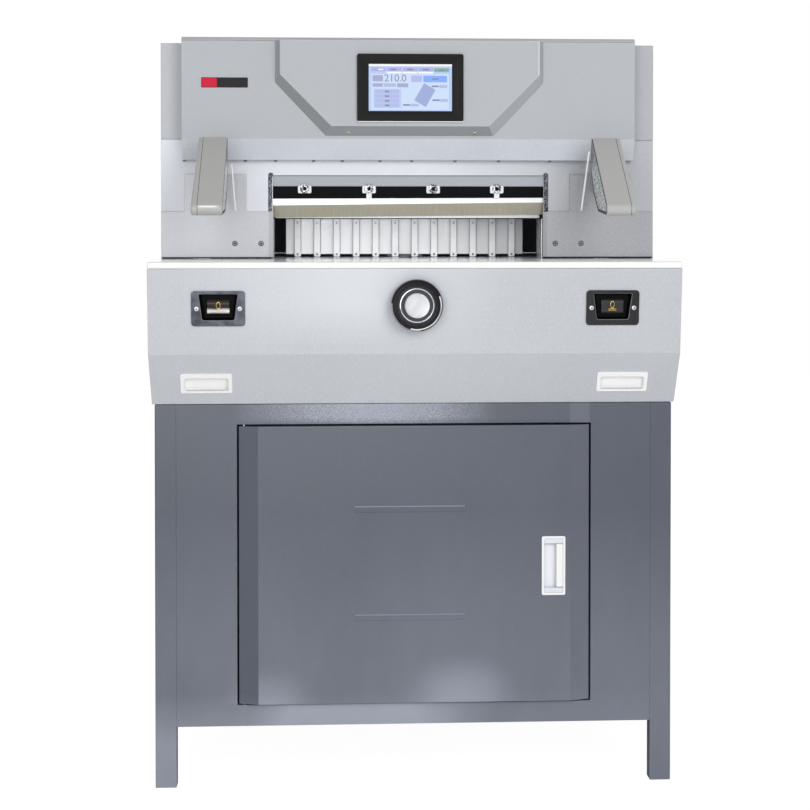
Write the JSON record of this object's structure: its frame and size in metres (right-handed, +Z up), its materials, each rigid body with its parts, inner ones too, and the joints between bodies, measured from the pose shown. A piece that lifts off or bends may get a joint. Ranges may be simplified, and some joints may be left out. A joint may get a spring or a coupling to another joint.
{
  "type": "electric paper cutter",
  "caption": "Floor-standing electric guillotine for stacks of paper, with a powered knife and clamp, a screw-driven back gauge, a touch panel and a cabinet stand.",
  "frame": {"origin": "on the floor, in the middle of the overall footprint", "axes": "+Z up, +X to the right of a person who stands at the front, +Y from the front to the back"},
  "size_m": [0.95, 0.934, 1.372],
  "materials": {
    "grey_paint": "satin, fine texture",
    "pale_paint": "fine metallic texture",
    "dark_paint": "satin, fine texture",
    "steel": "ground and polished",
    "dark_steel": "blackened, painted inside",
    "aluminium": "turned, brushed",
    "white_plastic": "moulded, smooth",
    "beige_plastic": "moulded, fine grain",
    "black_plastic": "moulded, glossy",
    "clear_plastic": "clear acrylic sheet",
    "display": "lit display under a clear layer",
    "brass": "gold-coloured cap"
  },
  "bodies": {
    "frame": {"cabinet_side_left": "dark_paint", "cabinet_side_right": "dark_paint", "cabinet_front_frame": "dark_paint", "cabinet_back": "dark_paint", "cabinet_floor": "dark_paint", "base_plate": "dark_steel", "apron": "grey_paint", "table": "steel", "table_trim": "white_plastic", "cutting_stick": "beige_plastic", "face_plate": "pale_paint", "guard_left": "pale_paint", "guard_right": "pale_paint", "column_left": "grey_paint", "column_right": "grey_paint", "upper_beam": "dark_steel", "head_cover": "grey_paint", "head_rear_cover": "grey_paint", "rear_hood": "grey_paint", "console": "grey_paint", "panel_bezel": "black_plastic", "touch_screen": "display", "arm_left": "beige_plastic", "arm_right": "beige_plastic", "shield_left": "clear_plastic", "shield_right": "clear_plastic", "button_bezel_left": "black_plastic", "button_bezel_right": "black_plastic", "pull_left": "white_plastic", "pull_right": "white_plastic", "hinge_pin_upper": "steel", "hinge_pin_lower": "steel", "clamp_guide_left": "steel", "clamp_guide_right": "steel", "knife_gearbox": "dark_steel", "knife_motor": "dark_paint", "clamp_motor": "dark_paint", "screw_bearing_front": "dark_steel", "screw_bearing_rear": "dark_steel", "gauge_motor": "dark_steel", "gauge_rod_left": "steel", "gauge_rod_right": "steel", "control_box": "pale_paint", "power_inlet": "black_plastic"},
    "door": {"door": "dark_paint", "door_pull": "white_plastic"},
    "knife": {"knife_bar": "dark_steel", "blade": "steel", "knife_rod_left": "steel", "knife_rod_right": "steel"},
    "rocker": {"rocker_shaft": "steel"},
    "clamp": {"clamp": "dark_steel"},
    "clamp_screw": {"clamp_screw": "steel"},
    "gauge": {"back_gauge": "pale_paint", "gauge_carriage": "dark_steel"},
    "spindle": {"lead_screw": "steel", "handwheel": "black_plastic", "handwheel_cap": "aluminium"},
    "button_left": {"button_left": "brass"},
    "button_right": {"button_right": "brass"}
  },
  "joints": [
    {"name": "door_hinge", "type": "hinge", "parent": "frame", "child": "door", "pos_m": [-0.3085, -0.374, 0.4], "axis": [0, 0, -1], "range_deg": [0, 90]},
    {"name": "knife_slide", "type": "slide", "parent": "frame", "child": "knife", "axis": [0, 0, -1], "range_m": [0, 0.078]},
    {"name": "rocker_turn", "type": "hinge", "parent": "frame", "child": "rocker", "pos_m": [0, -0.17488, 0.79], "axis": [-1, 0, 0], "range_deg": [0, 90]},
    {"name": "clamp_slide", "type": "slide", "parent": "frame", "child": "clamp", "axis": [0, 0, -1], "range_m": [0, 0.077]},
    {"name": "clamp_screw_turn", "type": "hinge", "parent": "frame", "child": "clamp_screw", "pos_m": [0, -0.102, 1.2], "axis": [0, 0, -1], "range_deg": [0, 2800]},
    {"name": "gauge_slide", "type": "slide", "parent": "frame", "child": "gauge", "axis": [0, 1, 0], "range_m": [-0.11, 0.355]},
    {"name": "spindle_turn", "type": "hinge", "parent": "frame", "child": "spindle", "pos_m": [0, 0, 0.873], "axis": [0, 1, 0], "range_deg": [-3980, 12800]},
    {"name": "button_left_press", "type": "slide", "parent": "frame", "child": "button_left", "axis": [0, 0.9931, 0.1171], "range_m": [0, 0.004], "stiffness_N_per_m": 600, "springref_m": -0.002},
    {"name": "button_right_press", "type": "slide", "parent": "frame", "child": "button_right", "axis": [0, 0.9931, 0.1171], "range_m": [0, 0.004], "stiffness_N_per_m": 600, "springref_m": -0.002}
  ],
  "couplings": [
    {"joint": "rocker_turn", "follows": "knife_slide", "rad_per_m": 20.138},
    {"joint": "clamp_screw_turn", "follows": "clamp_slide", "rad_per_m": 628.32},
    {"joint": "spindle_turn", "follows": "gauge_slide", "rad_per_m": 628.32}
  ]
}
